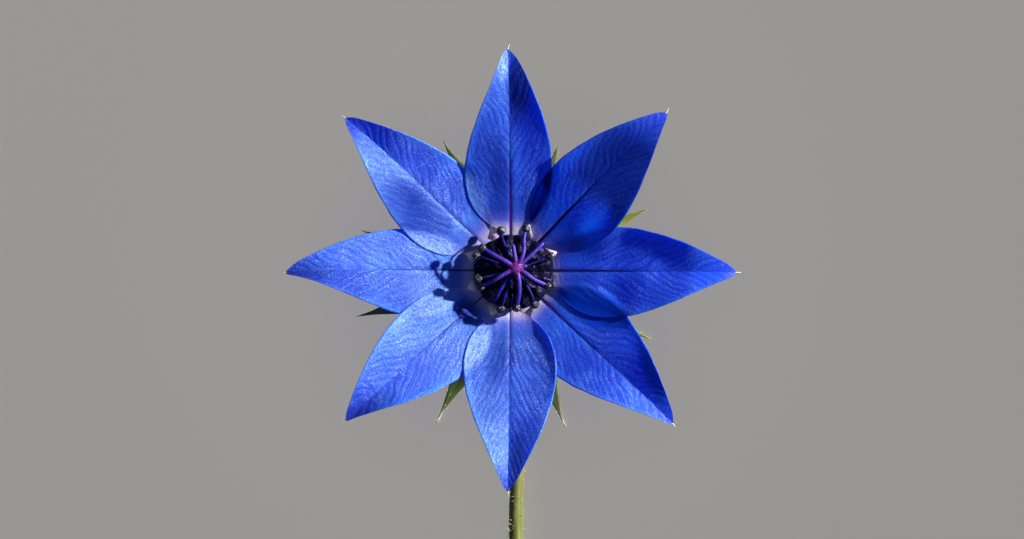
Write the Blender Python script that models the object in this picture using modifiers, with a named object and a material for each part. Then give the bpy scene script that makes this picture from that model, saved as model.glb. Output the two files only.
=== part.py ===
# A picked borage flower laid on its back: a corolla of eight blue petals, a black ribbed disc,
# a whorl of violet stamens with black anthers, and a green calyx on a bent stem.
# Lengths are in metres. The flower faces +Z, the stem runs towards -Y, and z = 0 is the surface
# that the sepal tips and the stem lie on.

import math

import bmesh
import bpy
from mathutils import Matrix, Vector
from mathutils.geometry import interpolate_bezier

mm = 0.001

# Corolla. Each petal has its direction in degrees, its reach, the half-width and the taper of its
# anticlockwise (plus) and clockwise (minus) side, the place where its outline's formula closes, the
# sideways lean of its tip, the slope of its fold, its rise, how rounded the rise is (bow), and how
# far its tip droops.
petals = (
    {"turn": 0.0, "reach": 15.1 * mm, "plus": (2.96 * mm, 1.25), "minus": (3.21 * mm, 1.53),
     "end": 16.2 * mm, "lean": -0.1 * mm, "fold": 0.3, "rise": 3.6 * mm, "bow": 1.6, "droop": 0.55 * mm},
    {"turn": 46.2, "reach": 14.97 * mm, "plus": (2.82 * mm, 1.14), "minus": (3.1 * mm, 1.34),
     "end": 15.48 * mm, "lean": -0.19 * mm, "fold": 0.06, "rise": 4.6 * mm, "bow": 1.3, "droop": 0.75 * mm},
    {"turn": 90.4, "reach": 15.13 * mm, "plus": (3.08 * mm, 1.53), "minus": (2.81 * mm, 1.27),
     "end": 16.11 * mm, "lean": 0.13 * mm, "fold": 0.36, "rise": 4.1 * mm, "bow": 1.45, "droop": 0.75 * mm},
    {"turn": 136.3, "reach": 15.23 * mm, "plus": (3.1 * mm, 1.45), "minus": (2.82 * mm, 1.31),
     "end": 16.09 * mm, "lean": 0.23 * mm, "fold": 0.4, "rise": 3.3 * mm, "bow": 1.8, "droop": 0.5 * mm},
    {"turn": 179.2, "reach": 15.1 * mm, "plus": (3.2 * mm, 1.84), "minus": (2.71 * mm, 1.19),
     "end": 16.2 * mm, "lean": 0.3 * mm, "fold": -0.2, "rise": 3.4 * mm, "bow": 1.7, "droop": 0.5 * mm},
    {"turn": 222.0, "reach": 14.93 * mm, "plus": (3.12 * mm, 1.41), "minus": (2.86 * mm, 1.14),
     "end": 15.42 * mm, "lean": 0.02 * mm, "fold": 0.3, "rise": 3.3 * mm, "bow": 1.7, "droop": 0.5 * mm},
    {"turn": 269.3, "reach": 14.73 * mm, "plus": (3.14 * mm, 1.32), "minus": (3.13 * mm, 1.44),
     "end": 15.62 * mm, "lean": -0.06 * mm, "fold": 0.38, "rise": 3.3 * mm, "bow": 1.75, "droop": 0.45 * mm},
    {"turn": 317.1, "reach": 14.87 * mm, "plus": (3.11 * mm, 1.32), "minus": (3.13 * mm, 1.57),
     "end": 15.92 * mm, "lean": -0.1 * mm, "fold": 0.36, "rise": 3.6 * mm, "bow": 1.6, "droop": 0.5 * mm},
)
petalReach = 15.0 * mm
bladeStart = 2.6 * mm
innerFullness = 0.6
clawStart = 1.5 * mm
clawHalfWidth = 0.6 * mm
tipHalfWidth = 0.15 * mm
tipClosing = 0.8 * mm
leanStart = 8.0 * mm
droopStart = 11.8 * mm
petalThickness = 0.65 * mm
overlapStep = 0.45 * mm
overlapBlend = 0.9 * mm
petalRows = 18
petalColumns = 6
# For each petal and the next one anticlockwise, from the petal at +X: True where the next lies above.
nextAbove = (True, False, False, False, True, True, False, True)

# Throat ring, which the claws grow from
throatRadius = 1.85 * mm
throatHalfWidth = 0.9 * mm
throatHalfHeight = 0.5 * mm
throatHeight = 4.6 * mm

# Calyx: the direction in degrees and the reach of each sepal
sepalPlaces = (
    (25.1, 10.3 * mm),
    (69.9, 9.35 * mm),
    (117.1, 10.1 * mm),
    (164.4, 10.7 * mm),
    (195.3, 11.1 * mm),
    (244.2, 11.1 * mm),
    (289.6, 11.2 * mm),
    (334.2, 10.6 * mm),
)
sepalStart = 0.8 * mm
sepalHeight = 3.35 * mm
sepalHalfWidth = 0.95 * mm
sepalRootHalfWidth = 0.25 * mm
sepalTipHalfWidth = 0.16 * mm
sepalThickness = 0.66 * mm
sepalKeel = 0.3
sepalLanding = 0.26 * mm
sepalLandingStart = 8.6 * mm
sepalRows = 14
receptacleTop = 3.75 * mm
receptacleRadius = 1.6 * mm
receptacleBottom = 2.2 * mm

# Stem, from inside the receptacle to its cut end
stemRadius = 0.5 * mm
stemHeight = 0.46 * mm
stemRoute = (
    (0.0, 0.0, 3.2 * mm),
    (0.0, -0.12 * mm, 2.2 * mm),
    (0.03 * mm, -1.0 * mm, 1.05 * mm),
    (0.1 * mm, -2.8 * mm, 0.52 * mm),
    (0.25 * mm, -6.5 * mm, stemHeight),
    (0.4 * mm, -11.5 * mm, stemHeight),
    (0.33 * mm, -16.0 * mm, stemHeight),
    (0.3 * mm, -20.6 * mm, stemHeight),
)

# Disc
discRadius = 2.66 * mm
discTop = 6.87 * mm
discPegRadius = 0.6 * mm
discPegBottom = 4.05 * mm
discRibs = 16
discRibDepth = 0.09 * mm

# Stamens: the direction in degrees and the reach of each anther, and True for an upper filament
stamenPlaces = (
    (23.0, 2.75 * mm, False),
    (44.4, 2.88 * mm, False),
    (74.4, 3.08 * mm, True),
    (106.5, 2.93 * mm, False),
    (141.7, 2.68 * mm, True),
    (157.0, 2.87 * mm, False),
    (190.4, 2.46 * mm, False),
    (214.5, 2.36 * mm, True),
    (251.0, 2.61 * mm, False),
    (274.1, 2.51 * mm, True),
    (302.3, 2.65 * mm, False),
    (339.6, 2.68 * mm, True),
)
hubRadius = 0.55 * mm
hubHeight = 7.52 * mm
hubHalfHeight = 0.34 * mm
filamentRadius = 0.16 * mm
upperRise = 0.12 * mm
lowerRise = -0.04 * mm
antherRadius = 0.3 * mm
antherHeight = 7.17 * mm

surfaceCutSize = 60 * mm
weldDistance = 0.00001


def smoothStep(start, end, value):
    t = min(max((value - start) / (end - start), 0.0), 1.0)
    return t * t * (3 - 2 * t)


def mix(first, second, share):
    return first + (second - first) * share


def clearScene():
    for item in list(bpy.data.objects):
        bpy.data.objects.remove(item, do_unlink=True)


def newCollection(name):
    collection = bpy.data.collections.new(name)
    bpy.context.scene.collection.children.link(collection)
    return collection


def newMaterial(name, colour, roughness, metallic=0.0):
    material = bpy.data.materials.new(name)
    material.use_nodes = True
    shader = material.node_tree.nodes["Principled BSDF"]
    shader.inputs["Base Color"].default_value = (*colour, 1.0)
    shader.inputs["Roughness"].default_value = roughness
    shader.inputs["Metallic"].default_value = metallic
    return material


def objectFromBmesh(name, bm, collection):
    mesh = bpy.data.meshes.new(name)
    bm.to_mesh(mesh)
    bm.free()
    item = bpy.data.objects.new(name, mesh)
    collection.objects.link(item)
    return item


# The object's mesh with its modifiers applied.
def evaluatedMesh(item):
    bpy.context.view_layer.update()
    graph = bpy.context.evaluated_depsgraph_get()
    return bpy.data.meshes.new_from_object(item.evaluated_get(graph))


def applyModifiers(item):
    mesh = evaluatedMesh(item)
    item.modifiers.clear()
    item.data = mesh


# A mesh object in place of a curve, with the tube's caps welded to its wall.
def curveToMesh(curveObject, collection):
    mesh = evaluatedMesh(curveObject)
    bm = bmesh.new()
    bm.from_mesh(mesh)
    bmesh.ops.remove_doubles(bm, verts=bm.verts, dist=weldDistance)
    bmesh.ops.recalc_face_normals(bm, faces=bm.faces)
    solid = objectFromBmesh(curveObject.name + "_solid", bm, collection)
    solid.matrix_world = curveObject.matrix_world
    bpy.data.objects.remove(curveObject, do_unlink=True)
    return solid


# Points along a smooth curve through the given points.
def smoothRoute(points, samplesPerSpan):
    corners = [Vector(point) for point in points]
    route = []
    for index in range(len(corners) - 1):
        start, end = corners[index], corners[index + 1]
        before = corners[max(index - 1, 0)]
        after = corners[min(index + 2, len(corners) - 1)]
        span = (end - start).length
        startPull = (end - before).normalized() * span / 3
        endPull = (after - start).normalized() * span / 3
        stretch = interpolate_bezier(start, start + startPull, end - endPull, end, samplesPerSpan + 1)
        route += stretch[:-1]
    return route + [corners[-1]]


def tube(name, route, radius, resolution, collection):
    curve = bpy.data.curves.new(name, "CURVE")
    curve.dimensions = "3D"
    curve.bevel_depth = radius
    curve.bevel_resolution = resolution
    curve.use_fill_caps = True
    spline = curve.splines.new("POLY")
    spline.points.add(len(route) - 1)
    for point, place in zip(spline.points, route):
        point.co = (*place, 1.0)
    item = bpy.data.objects.new(name, curve)
    collection.objects.link(item)
    return curveToMesh(item, collection)


# A thin closed blade: a grid bent by formula, split into triangles, then thickened. The formula
# gives a point from its share of the length, 0 to 1, and its share of the half-width, -1 to 1.
def blade(name, rows, columns, pointAt, thickness, angle, collection):
    bm = bmesh.new()
    bmesh.ops.create_grid(bm, x_segments=rows, y_segments=columns, size=1.0)
    turn = Matrix.Rotation(angle, 4, "Z")
    for vertex in bm.verts:
        vertex.co = turn @ pointAt((vertex.co.x + 1) / 2, vertex.co.y)
    bmesh.ops.triangulate(bm, faces=bm.faces, quad_method="ALTERNATE")
    item = objectFromBmesh(name, bm, collection)
    solidify = item.modifiers.new("thickness", "SOLIDIFY")
    solidify.thickness = thickness
    solidify.offset = 0.0
    applyModifiers(item)
    return item


# Joins the base with every object of a collection in one Boolean union, then removes them.
def joinCollection(base, others, name):
    union = base.modifiers.new(name, "BOOLEAN")
    union.operation = "UNION"
    union.operand_type = "COLLECTION"
    union.collection = others
    union.solver = "EXACT"
    applyModifiers(base)
    for item in list(others.objects):
        bpy.data.objects.remove(item, do_unlink=True)
    bpy.data.collections.remove(others)


def finish(item, material, sharpAngle):
    item.data.materials.clear()
    item.data.materials.append(material)
    item.data.shade_smooth()
    item.data.set_sharp_from_angle(angle=sharpAngle)


def petalHalfWidthAt(petal, side, along):
    width, taper = petal[side]
    share = min(max((along - bladeStart) / (petal["end"] - bladeStart), 0.0), 1.0)
    widest = innerFullness / (innerFullness + taper)
    spread = (share / widest) ** innerFullness * ((1 - share) / (1 - widest)) ** taper
    stalk = mix(clawHalfWidth, tipHalfWidth, smoothStep(3 * mm, 8 * mm, along))
    closing = min((petal["reach"] - along) / tipClosing, 1.0) ** 0.6
    return max(math.hypot(width * spread, stalk) * closing, tipHalfWidth)


# Whether the clockwise and the anticlockwise margin lie above (1) or below (-1) the neighbour.
def petalLevels(index):
    clockwise = 1 if nextAbove[index - 1] else -1
    anticlockwise = -1 if nextAbove[index] else 1
    return clockwise, anticlockwise


def petalHeightAt(index, along, across):
    petal = petals[index]
    clockwise, anticlockwise = petalLevels(index)
    radius = math.hypot(along, across)
    outward = min(max(radius - throatRadius, 0.0) / (petalReach - throatRadius), 1.0)
    cup = petal["rise"] * (1 - (1 - outward) ** petal["bow"])
    droop = petal["droop"] * (max(along - droopStart, 0.0) / (petalReach - droopStart)) ** 2
    side = smoothStep(-overlapBlend, overlapBlend, across)
    apart = smoothStep(clawStart, 2.6 * mm, radius) * (1 - smoothStep(8.5 * mm, 13 * mm, radius))
    layer = mix(clockwise, anticlockwise, side) * overlapStep * apart
    folded = smoothStep(6 * mm, 12 * mm, radius) * (1 - smoothStep(12.4 * mm, 14.6 * mm, radius))
    fold = petal["fold"] * abs(across) * folded
    return throatHeight + cup - droop + layer + fold


def petalPointFor(index):
    petal = petals[index]

    def pointAt(alongShare, acrossShare):
        along = mix(clawStart, petal["reach"], alongShare)
        side = "plus" if acrossShare > 0 else "minus"
        across = acrossShare * petalHalfWidthAt(petal, side, along)
        lean = petal["lean"] * (max(along - leanStart, 0.0) / (petalReach - leanStart)) ** 2
        return Vector((along, across + lean, petalHeightAt(index, along, across)))

    return pointAt


def addCorolla(collection, material):
    blades = newCollection("petals")
    for index, petal in enumerate(petals):
        blade(
            f"petal_{index + 1}",
            petalRows,
            petalColumns,
            petalPointFor(index),
            petalThickness,
            math.radians(petal["turn"]),
            blades,
        )
    bpy.ops.mesh.primitive_torus_add(
        major_radius=throatRadius,
        minor_radius=throatHalfWidth,
        major_segments=32,
        minor_segments=8,
    )
    corolla = bpy.context.active_object
    corolla.name = "corolla"
    flatten = Matrix.Diagonal((1, 1, throatHalfHeight / throatHalfWidth, 1))
    corolla.data.transform(Matrix.Translation((0, 0, throatHeight)) @ flatten)
    for other in list(corolla.users_collection):
        other.objects.unlink(corolla)
    collection.objects.link(corolla)
    joinCollection(corolla, blades, "join_petals")
    finish(corolla, material, math.radians(40))
    return corolla


def sepalPointFor(reach):
    def pointAt(alongShare, acrossShare):
        along = mix(sepalStart, reach, alongShare)
        root = mix(sepalRootHalfWidth, sepalHalfWidth, smoothStep(sepalStart, 3.4 * mm, along))
        taper = 1 - smoothStep(4.5 * mm, reach + 0.6 * mm, along)
        across = acrossShare * mix(sepalTipHalfWidth, root, taper)
        fall = smoothStep(sepalStart, sepalLandingStart, along)
        keel = sepalKeel * abs(across) * (1 - smoothStep(6 * mm, sepalLandingStart, along))
        return Vector((along, across, mix(sepalHeight, sepalLanding, fall) + keel))

    return pointAt


# The calyx cup: a short inverted cone with a rounded lip, turned about the Z axis.
def addReceptacle(collection):
    profile = (
        (0.0, receptacleTop),
        (receptacleRadius - 0.2 * mm, receptacleTop),
        (receptacleRadius, receptacleTop - 0.2 * mm),
        (receptacleRadius - 0.05 * mm, sepalHeight - 0.45 * mm),
        (receptacleRadius * 0.62, receptacleBottom + 0.3 * mm),
        (stemRadius * 0.8, receptacleBottom),
        (0.0, receptacleBottom),
    )
    return turned("receptacle", profile, 24, collection)


# A closed solid of revolution from a profile of (radius, height), top to bottom.
def turned(name, profile, steps, collection):
    bm = bmesh.new()
    corners = [bm.verts.new((radius, 0, height)) for radius, height in profile]
    for first, second in zip(corners, corners[1:]):
        bm.edges.new((first, second))
    item = objectFromBmesh(name, bm, collection)
    screw = item.modifiers.new("turn", "SCREW")
    screw.axis = "Z"
    screw.angle = 2 * math.pi
    screw.steps = steps
    screw.render_steps = steps
    screw.use_merge_vertices = True
    screw.merge_threshold = weldDistance
    applyModifiers(item)
    return item


def addCalyxAndStem(collection, cutters, material):
    green = newCollection("sepals")
    for index, (degrees, reach) in enumerate(sepalPlaces):
        blade(
            f"sepal_{index + 1}",
            sepalRows,
            2,
            sepalPointFor(reach),
            sepalThickness,
            math.radians(degrees),
            green,
        )
    addReceptacle(green)
    stem = tube("calyx_and_stem", smoothRoute(stemRoute, 4), stemRadius, 3, collection)
    stem.name = "calyx_and_stem"
    joinCollection(stem, green, "join_sepals")
    cutBelowSurface(stem, cutters)
    finish(stem, material, math.radians(40))
    return stem


# Levels the underside at z = 0, so that the sepal tips and the stem have flat spots to lie on.
def cutBelowSurface(item, cutters):
    bm = bmesh.new()
    bmesh.ops.create_cube(bm, size=surfaceCutSize)
    bmesh.ops.translate(bm, verts=bm.verts, vec=(0, 0, -surfaceCutSize / 2))
    cutter = objectFromBmesh("surface_cutter", bm, cutters)
    cutter.hide_render = True
    cutter.display_type = "WIRE"
    cut = item.modifiers.new("level_underside", "BOOLEAN")
    cut.operation = "DIFFERENCE"
    cut.object = cutter
    cut.solver = "EXACT"
    applyModifiers(item)


def addDisc(collection, material):
    profile = (
        (0.0, discTop),
        (0.9 * mm, discTop - 0.03 * mm),
        (1.6 * mm, discTop - 0.1 * mm),
        (2.2 * mm, discTop - 0.24 * mm),
        (discRadius - 0.14 * mm, discTop - 0.42 * mm),
        (discRadius, discTop - 0.62 * mm),
        (discRadius - 0.2 * mm, discTop - 0.76 * mm),
        (2.0 * mm, discTop - 0.8 * mm),
        (discPegRadius, discTop - 1.0 * mm),
        (discPegRadius, discPegBottom),
        (0.0, discPegBottom),
    )
    disc = turned("disc", profile, discRibs * 4, collection)
    for vertex in disc.data.vertices:
        radius = math.hypot(vertex.co.x, vertex.co.y)
        if radius > discPegRadius + weldDistance:
            angle = math.atan2(vertex.co.y, vertex.co.x)
            rib = math.cos(discRibs * angle) * discRibDepth * smoothStep(discPegRadius, discRadius, radius)
            vertex.co.x += rib * math.cos(angle)
            vertex.co.y += rib * math.sin(angle)
            if vertex.co.z > discTop - 0.5 * mm:
                vertex.co.z += rib * 0.7
    finish(disc, material, math.radians(50))
    return disc


def addStamens(collection, material):
    parts = newCollection("stamen_parts")
    for index, (degrees, reach, upper) in enumerate(stamenPlaces):
        angle = math.radians(degrees)
        outward = Vector((math.cos(angle), math.sin(angle), 0))
        rise = upperRise if upper else lowerRise
        start = hubHeight + rise
        route = (
            outward * 0.15 * mm + Vector((0, 0, start)),
            outward * 0.8 * mm + Vector((0, 0, start + rise)),
            outward * (reach * 0.62) + Vector((0, 0, start + rise * 0.6)),
            outward * reach + Vector((0, 0, antherHeight)),
        )
        tube(f"filament_{index + 1}", smoothRoute(route, 3), filamentRadius, 2, parts)
        bm = bmesh.new()
        bmesh.ops.create_icosphere(bm, subdivisions=1, radius=antherRadius)
        bmesh.ops.rotate(bm, verts=bm.verts, matrix=Matrix.Rotation(angle + index, 3, "Z"))
        bmesh.ops.translate(bm, verts=bm.verts, vec=route[-1])
        objectFromBmesh(f"anther_{index + 1}", bm, parts)
    bm = bmesh.new()
    bmesh.ops.create_uvsphere(bm, u_segments=14, v_segments=8, radius=hubRadius)
    bmesh.ops.scale(bm, verts=bm.verts, vec=(1, 1, hubHalfHeight / hubRadius))
    bmesh.ops.translate(bm, verts=bm.verts, vec=(0, 0, hubHeight))
    stamens = objectFromBmesh("stamens", bm, collection)
    joinCollection(stamens, parts, "join_filaments")
    finish(stamens, material, math.radians(50))
    return stamens


# Moves every piece alike, so that the origin is the middle of the underside of the whole box.
def placeOnOrigin(items):
    corners = [vertex.co for item in items for vertex in item.data.vertices]
    low = Vector(min(corner[axis] for corner in corners) for axis in range(3))
    high = Vector(max(corner[axis] for corner in corners) for axis in range(3))
    shift = Vector((-(low.x + high.x) / 2, -(low.y + high.y) / 2, -low.z))
    for item in items:
        item.data.transform(Matrix.Translation(shift))


def main():
    clearScene()
    flower = newCollection("borage_flower")
    cutters = newCollection("cutters")
    petalBlue = newMaterial("petal_blue", (0.03, 0.09, 0.62), 0.45)
    leafGreen = newMaterial("leaf_green", (0.12, 0.17, 0.035), 0.6)
    discBlack = newMaterial("disc_black", (0.008, 0.007, 0.02), 0.25)
    stamenViolet = newMaterial("stamen_violet", (0.09, 0.015, 0.19), 0.35)
    pieces = [
        addCorolla(flower, petalBlue),
        addCalyxAndStem(flower, cutters, leafGreen),
        addDisc(flower, discBlack),
        addStamens(flower, stamenViolet),
    ]
    placeOnOrigin(pieces)


main()
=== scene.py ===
# A picked borage flower lying face up: finish, fine petals, stamens, calyx, light and camera
import math
import random

import bpy
import numpy as np
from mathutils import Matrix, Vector


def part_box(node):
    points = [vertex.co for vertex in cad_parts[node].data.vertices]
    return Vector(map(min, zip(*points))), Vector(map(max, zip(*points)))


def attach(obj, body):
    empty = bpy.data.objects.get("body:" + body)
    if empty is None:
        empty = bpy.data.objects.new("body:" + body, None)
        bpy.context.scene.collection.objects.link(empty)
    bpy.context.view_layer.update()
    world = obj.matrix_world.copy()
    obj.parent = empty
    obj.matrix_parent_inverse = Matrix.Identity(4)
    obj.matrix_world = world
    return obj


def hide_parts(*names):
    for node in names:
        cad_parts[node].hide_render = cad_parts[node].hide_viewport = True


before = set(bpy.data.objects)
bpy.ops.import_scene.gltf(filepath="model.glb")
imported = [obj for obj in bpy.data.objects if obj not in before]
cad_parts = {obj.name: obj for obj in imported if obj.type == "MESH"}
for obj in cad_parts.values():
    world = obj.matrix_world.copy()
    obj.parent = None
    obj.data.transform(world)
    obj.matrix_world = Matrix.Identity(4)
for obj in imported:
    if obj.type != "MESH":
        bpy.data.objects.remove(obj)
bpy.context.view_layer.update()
print("frame loaded:", ", ".join(sorted(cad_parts)))

mm = 0.001
fullTurn = 2 * math.pi


# Places worked out from the frame

discLow, discHigh = [Vector(corner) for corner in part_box("disc")]
corollaLow, _ = [Vector(corner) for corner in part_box("corolla")]
flowerX, flowerY, _ = (discLow + discHigh) / 2
discTop = discHigh.z
stamenX = flowerX + 0.17 * mm  # the disc sits a little to the right of where the petals meet
stamenY = flowerY - 0.07 * mm
throatHeight = corollaLow.z + 0.55 * mm


# Small tools

def smoothStep(start, end, value):
    t = np.clip((value - start) / (end - start), 0.0, 1.0)
    return t * t * (3 - 2 * t)


def mix(first, second, share):
    return first + (second - first) * share


def ripple(x, y, seed, size):  # smooth seeded unevenness between about -1 and 1
    dice = random.Random(seed)
    waves = 7
    total = 0.0
    for _ in range(waves):
        angle = dice.uniform(0, fullTurn)
        stretch = dice.uniform(0.6, 1.6) * fullTurn / size
        shift = dice.uniform(0, fullTurn)
        total = total + np.sin((x * math.cos(angle) + y * math.sin(angle)) * stretch + shift)
    return total / math.sqrt(waves * 1.5)


def meshPiece(name, points, faces, material, sharpAngle=None):
    mesh = bpy.data.meshes.new(name)
    mesh.from_pydata([tuple(point) for point in points], [], faces)
    mesh.validate()
    mesh.shade_smooth()
    if sharpAngle is not None:
        mesh.set_sharp_from_angle(angle=math.radians(sharpAngle))
    mesh.materials.append(material)
    piece = bpy.data.objects.new(name, mesh)
    flower.objects.link(piece)
    return piece


def gridFaces(rows, columns, start=0, wrap=False):
    faces = []
    for row in range(rows - 1):
        for column in range(columns if wrap else columns - 1):
            first = start + row * columns
            following = first + (column + 1) % columns
            column += first
            faces.append((column, following, following + columns, column + columns))
    return faces


def flipped(faces):
    return [face[::-1] for face in faces]


def closedRings(rings, ends):  # a body from rings of points and the middles of its two ends
    sides = len(rings[0])
    count = len(rings) * sides
    last = count - sides
    faces = gridFaces(len(rings), sides, wrap=True)
    for step in range(sides):
        following = (step + 1) % sides
        faces.append((following, step, count))
        faces.append((last + step, last + following, count + 1))
    return np.concatenate([*rings, ends]), faces


def shell(top, bottom):  # points and faces of a thin closed blade between two like grids
    rows, columns = top.shape[:2]
    count = rows * columns
    points = np.concatenate([top.reshape(-1, 3), bottom.reshape(-1, 3)])
    faces = flipped(gridFaces(rows, columns)) + gridFaces(rows, columns, start=count)
    rim = list(range(columns))
    rim += [row * columns + columns - 1 for row in range(1, rows)]
    rim += [(rows - 1) * columns + column for column in range(columns - 2, -1, -1)]
    rim += [row * columns for row in range(rows - 2, 0, -1)]
    for first, second in zip(rim, rim[1:] + rim[:1]):
        faces.append((first, second, second + count, first + count))
    return points, faces


def upwardNormals(grid):
    normal = np.cross(np.gradient(grid, axis=0), np.gradient(grid, axis=1))
    normal = normal / np.maximum(np.linalg.norm(normal, axis=2, keepdims=True), 1e-12)
    return normal * np.sign(normal[..., 2:3])


def tube(route, radii, sides, flatten=1.0, ribs=0, ribDepth=0.0):  # closed at both ends
    route = np.asarray(route, float)
    tangents = np.gradient(route, axis=0)
    tangents /= np.linalg.norm(tangents, axis=1, keepdims=True)
    side = np.cross(tangents[0], (0.0, 0.0, 1.0))
    if np.linalg.norm(side) < 0.1:  # the route starts upright
        side = np.array((1.0, 0.0, 0.0))
    angles = np.linspace(0, fullTurn, sides, endpoint=False)[:, None]
    reach = 1 + ribDepth * np.cos(ribs * angles)
    rings = []
    for centre, tangent, radius in zip(route, tangents, radii):
        side = side - tangent * np.dot(side, tangent)
        side = side / np.linalg.norm(side)
        up = np.cross(side, tangent) * flatten
        rings.append(centre + (side * np.cos(angles) + up * np.sin(angles)) * reach * radius)
    return closedRings(rings, route[[0, -1]])


def curvePoints(corners, count):  # even points along a smooth curve through the corners
    corners = np.asarray(corners, float)
    lengths = np.linalg.norm(np.diff(corners, axis=0), axis=1)
    knots = np.concatenate([[0.0], np.cumsum(lengths)])
    slopes = np.gradient(corners, knots, axis=0)
    route = []
    for place in np.linspace(0, knots[-1], count):
        span = min(np.searchsorted(knots, place, side="right") - 1, len(corners) - 2)
        width = knots[span + 1] - knots[span]
        t = (place - knots[span]) / width
        route.append(
            (2 * t**3 - 3 * t**2 + 1) * corners[span]
            + (t**3 - 2 * t**2 + t) * width * slopes[span]
            + (3 * t**2 - 2 * t**3) * corners[span + 1]
            + (t**3 - t**2) * width * slopes[span + 1]
        )
    return np.array(route)


class Pile:  # several closed shapes gathered into one piece

    def __init__(self):
        self.points = []
        self.faces = []

    def add(self, points, faces):
        start = len(self.points)
        self.points.extend(points)
        self.faces.extend(tuple(start + corner for corner in face) for face in faces)


# Material tools

class Finish:  # a material whose colour is laid on in coats

    def __init__(self, name, colour):
        self.material = bpy.data.materials.new(name)
        self.material.use_nodes = True
        self.tree = self.material.node_tree
        self.shader = self.tree.nodes["Principled BSDF"]
        self.surface = self.shader.outputs[0]
        self.colour = colour
        self.vector = self.node("TexCoord").outputs["Object"]

    def feed(self, source, target):  # a number, a colour, a vector or the result of another node
        if isinstance(source, (int, float)):
            target.default_value = source
        elif isinstance(source, tuple):
            target.default_value = (*source, 1.0)[:len(target.default_value)]
        elif source is not None:
            self.tree.links.new(source, target)

    def node(self, kind, inputs=None, **settings):
        made = self.tree.nodes.new("ShaderNode" + kind)
        for name, value in settings.items():
            setattr(made, name, value)
        for name, source in (inputs or {}).items():
            self.feed(source, made.inputs[name])
        return made

    def set(self, **values):
        for name, value in values.items():
            self.feed(value, self.shader.inputs[name.replace("_", " ")])

    def math(self, operation, first, second=0.0, third=0.0, clamp=False):
        inputs = {0: first, 1: second, 2: third}
        return self.node("Math", inputs, operation=operation, use_clamp=clamp).outputs[0]

    def product(self, first, *others):
        for other in others:
            first = self.math("MULTIPLY", first, other)
        return first

    def rest(self, share):
        return self.math("SUBTRACT", 1.0, share)

    def between(self, value, start, end, low=0.0, high=1.0):  # a smooth step from low to high
        inputs = {"Value": value, "From Min": start, "From Max": end, "To Min": low, "To Max": high}
        return self.node("MapRange", inputs, interpolation_type="SMOOTHSTEP").outputs["Result"]

    def blend(self, share, first, second):
        inputs = {"Factor": share, 6: first, 7: second}
        return self.node("Mix", inputs, data_type="RGBA").outputs[2]

    def tint(self, share, colour):  # another coat over the colour so far
        self.colour = self.blend(share, self.colour, colour)

    def mark(self, name):  # a number kept at each point of the mesh
        return self.node("Attribute", attribute_name=name).outputs["Fac"]

    def spot(self):  # X, Y and Z of each point
        return self.node("SeparateXYZ", {0: self.vector}).outputs

    def distance(self, x, y):
        return self.math("SQRT", self.math("ADD", self.product(x, x), self.product(y, y)))

    def noise(self, size, detail=3.0, roughness=0.5, vector=None):
        inputs = {"Vector": vector or self.vector, "Scale": 1 / size, "Detail": detail}
        return self.node("TexNoise", {**inputs, "Roughness": roughness}).outputs["Fac"]

    def blotches(self, size, *limits, detail=3.0, roughness=0.5):  # a share that comes and goes
        return self.between(self.noise(size, detail, roughness), *limits)

    def cells(self, size):
        inputs = {"Vector": self.vector, "Scale": 1 / size}
        return self.node("TexVoronoi", inputs).outputs["Distance"]

    def bump(self, *heights):  # a chain of (height, distance, strength)
        normal = None
        for height, distance, strength in heights:
            inputs = {"Height": height, "Distance": distance, "Strength": strength}
            normal = self.node("Bump", {**inputs, "Normal": normal}).outputs["Normal"]
        return normal

    def paint(self, roughness, normal=None, **others):
        self.set(Base_Color=self.colour, Roughness=roughness, Normal=normal, **others)

    def mixIn(self, other, share):  # a share of another shader over what is there
        both = self.node("MixShader", {0: share, 1: self.surface, 2: other.outputs[0]})
        self.surface = both.outputs[0]
        self.feed(self.surface, self.tree.nodes["Material Output"].inputs["Surface"])

    def letThrough(self, share, colour, normal):  # light that passes through a thin blade
        self.mixIn(self.node("BsdfTranslucent", {"Color": colour, "Normal": normal}), share)

    def dull(self, share, colour):  # a share of the surface without any shine
        self.mixIn(self.node("BsdfDiffuse", {"Color": colour}), share)


def collectionNamed(name):
    made = bpy.data.collections.new(name)
    bpy.context.scene.collection.children.link(made)
    return made


flower = collectionNamed("flower")
studio = collectionNamed("studio")


# Petals

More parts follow.
